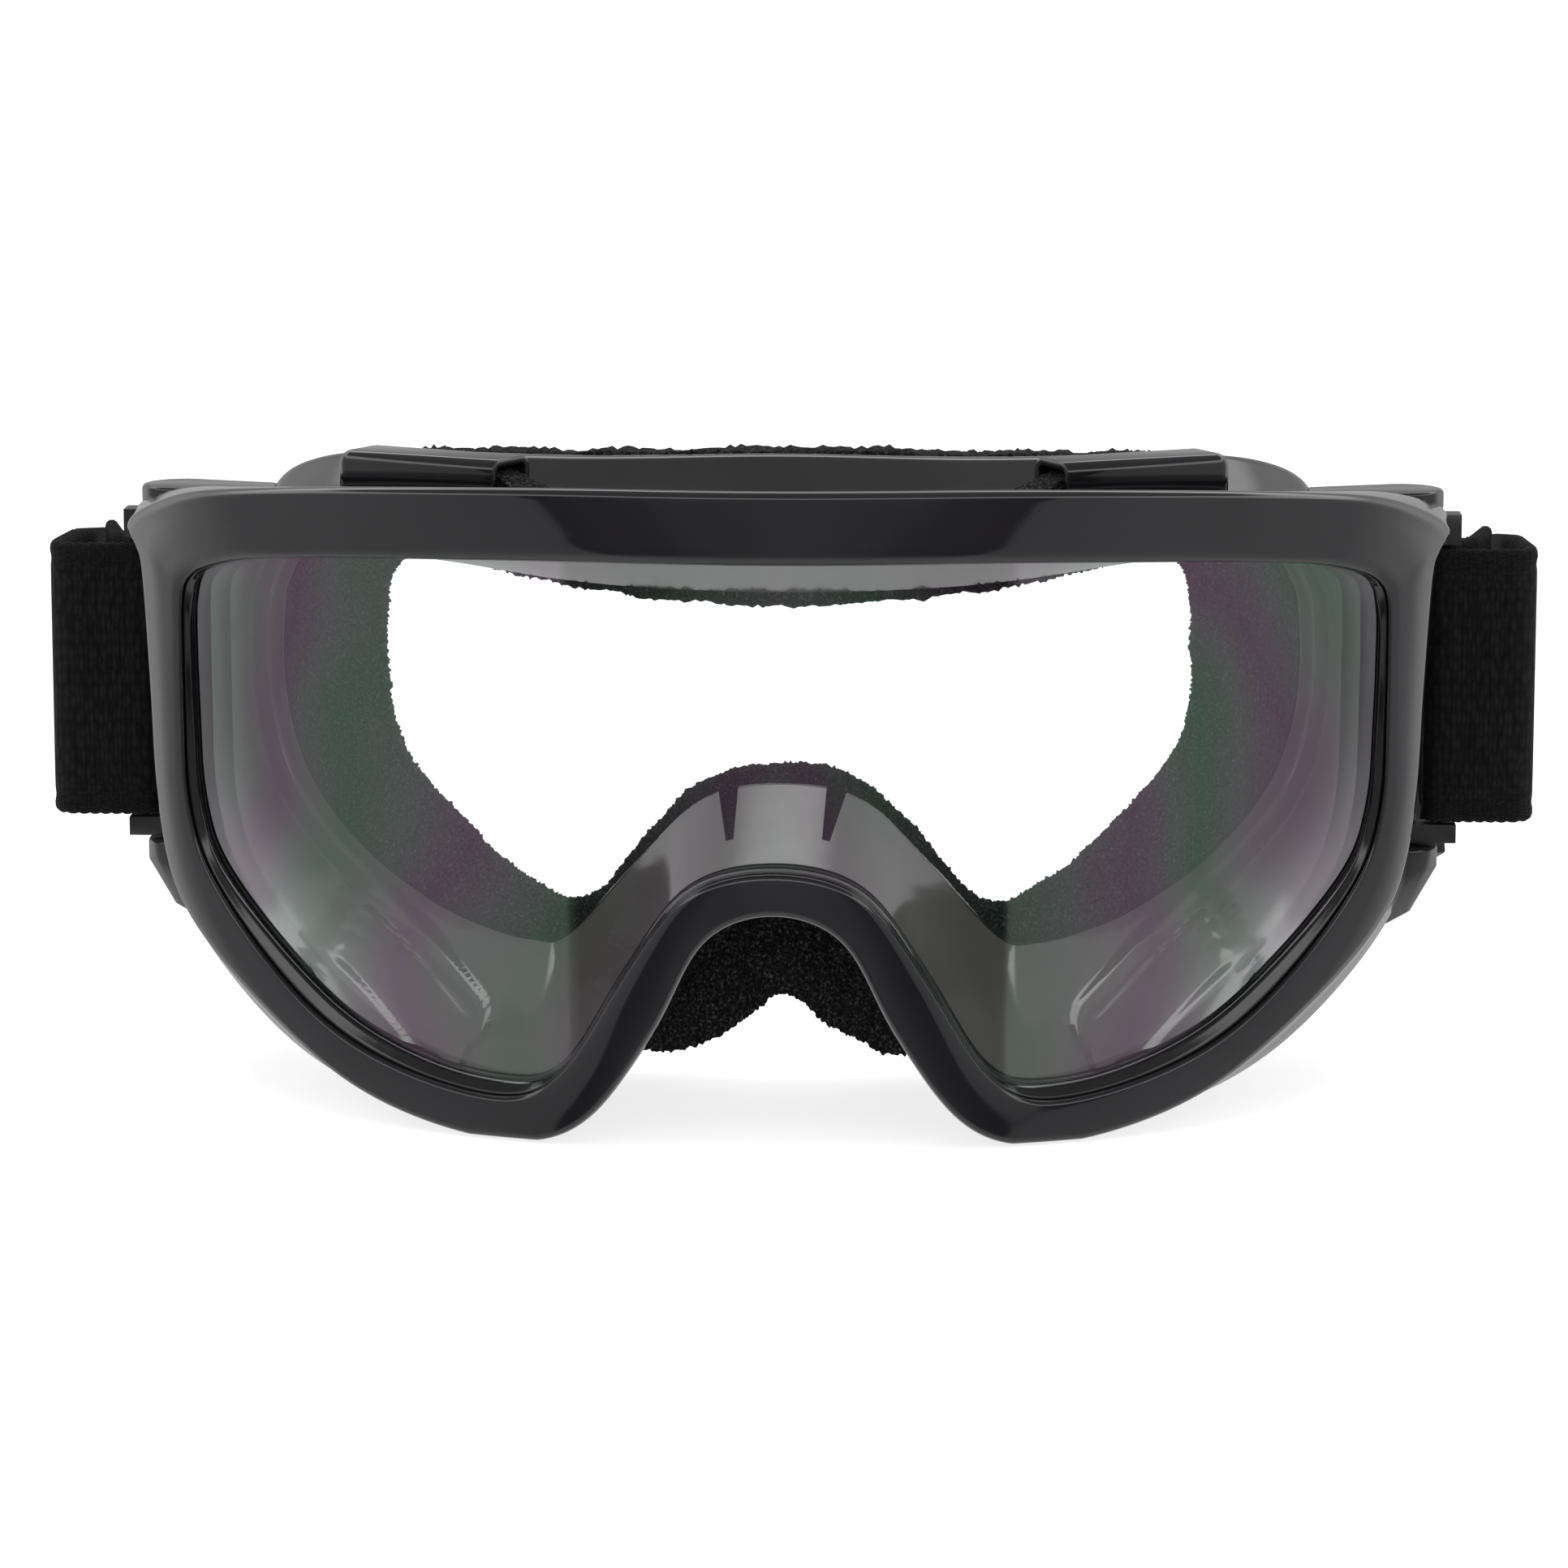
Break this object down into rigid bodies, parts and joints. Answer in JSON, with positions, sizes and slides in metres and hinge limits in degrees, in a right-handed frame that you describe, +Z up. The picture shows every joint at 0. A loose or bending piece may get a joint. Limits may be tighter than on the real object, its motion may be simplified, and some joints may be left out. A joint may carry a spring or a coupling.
{
  "type": "ski goggles",
  "caption": "Ski goggles with a clear cylindrical lens in a glossy bezel, a flexible vented frame with face foam, and an elastic strap in two halves on hinged clips, joined by a rear buckle.",
  "frame": {"origin": "middle of the underside of the whole box, on the surface that the goggles stand on", "axes": "+X to the right as seen from the front, +Y from the lens towards the face, +Z up"},
  "size_m": [0.206, 0.2042, 0.0867],
  "materials": {
    "gunmetal_plastic": "glossy gunmetal lacquer over moulded plastic",
    "clear_lens": "clear polycarbonate with a faint green and magenta coating",
    "black_rubber": "soft black gasket",
    "smoke_tpu": "smoky flexible moulding, glossy",
    "black_foam": "open-cell black foam",
    "vent_foam": "thin black filter foam",
    "pin_steel": "plain steel pin",
    "black_plastic": "black moulded plastic, satin",
    "black_webbing": "black knitted elastic webbing"
  },
  "bodies": {
    "goggles": {"front_bezel": "gunmetal_plastic", "lens": "clear_lens", "lens_gasket": "black_rubber", "frame_body": "smoke_tpu", "face_foam": "black_foam", "top_vent_hood_left": "gunmetal_plastic", "top_vent_filter_left": "vent_foam", "bottom_vent_hood_left": "gunmetal_plastic", "bottom_vent_filter_left": "vent_foam", "clip_pin_left": "pin_steel", "top_vent_hood_right": "gunmetal_plastic", "top_vent_filter_right": "vent_foam", "bottom_vent_hood_right": "gunmetal_plastic", "bottom_vent_filter_right": "vent_foam", "clip_pin_right": "pin_steel"},
    "left_strap": {"strap_clip_left": "black_plastic", "strap_left": "black_webbing", "buckle_socket": "black_plastic"},
    "left_slider": {"strap_slider_left": "black_plastic"},
    "right_strap": {"strap_clip_right": "black_plastic", "strap_right": "black_webbing", "buckle_plug": "black_plastic"},
    "right_slider": {"strap_slider_right": "black_plastic"}
  },
  "joints": [
    {"name": "left_clip_hinge", "type": "hinge", "parent": "goggles", "child": "left_strap", "pos_m": [-0.0842, -0.03494, 0.052], "axis": [0, 0, -1], "range_deg": [-15, 30]},
    {"name": "left_slider_slide", "type": "slide", "parent": "left_strap", "child": "left_slider", "axis": [0.1569, 0.9557, -0.2489], "range_m": [-0.014, 0.013]},
    {"name": "right_clip_hinge", "type": "hinge", "parent": "goggles", "child": "right_strap", "pos_m": [0.0842, -0.03494, 0.052], "axis": [0, 0, 1], "range_deg": [-15, 30]},
    {"name": "right_slider_slide", "type": "slide", "parent": "right_strap", "child": "right_slider", "axis": [-0.1537, 0.9362, -0.3162], "range_m": [-0.014, 0.013]}
  ]
}
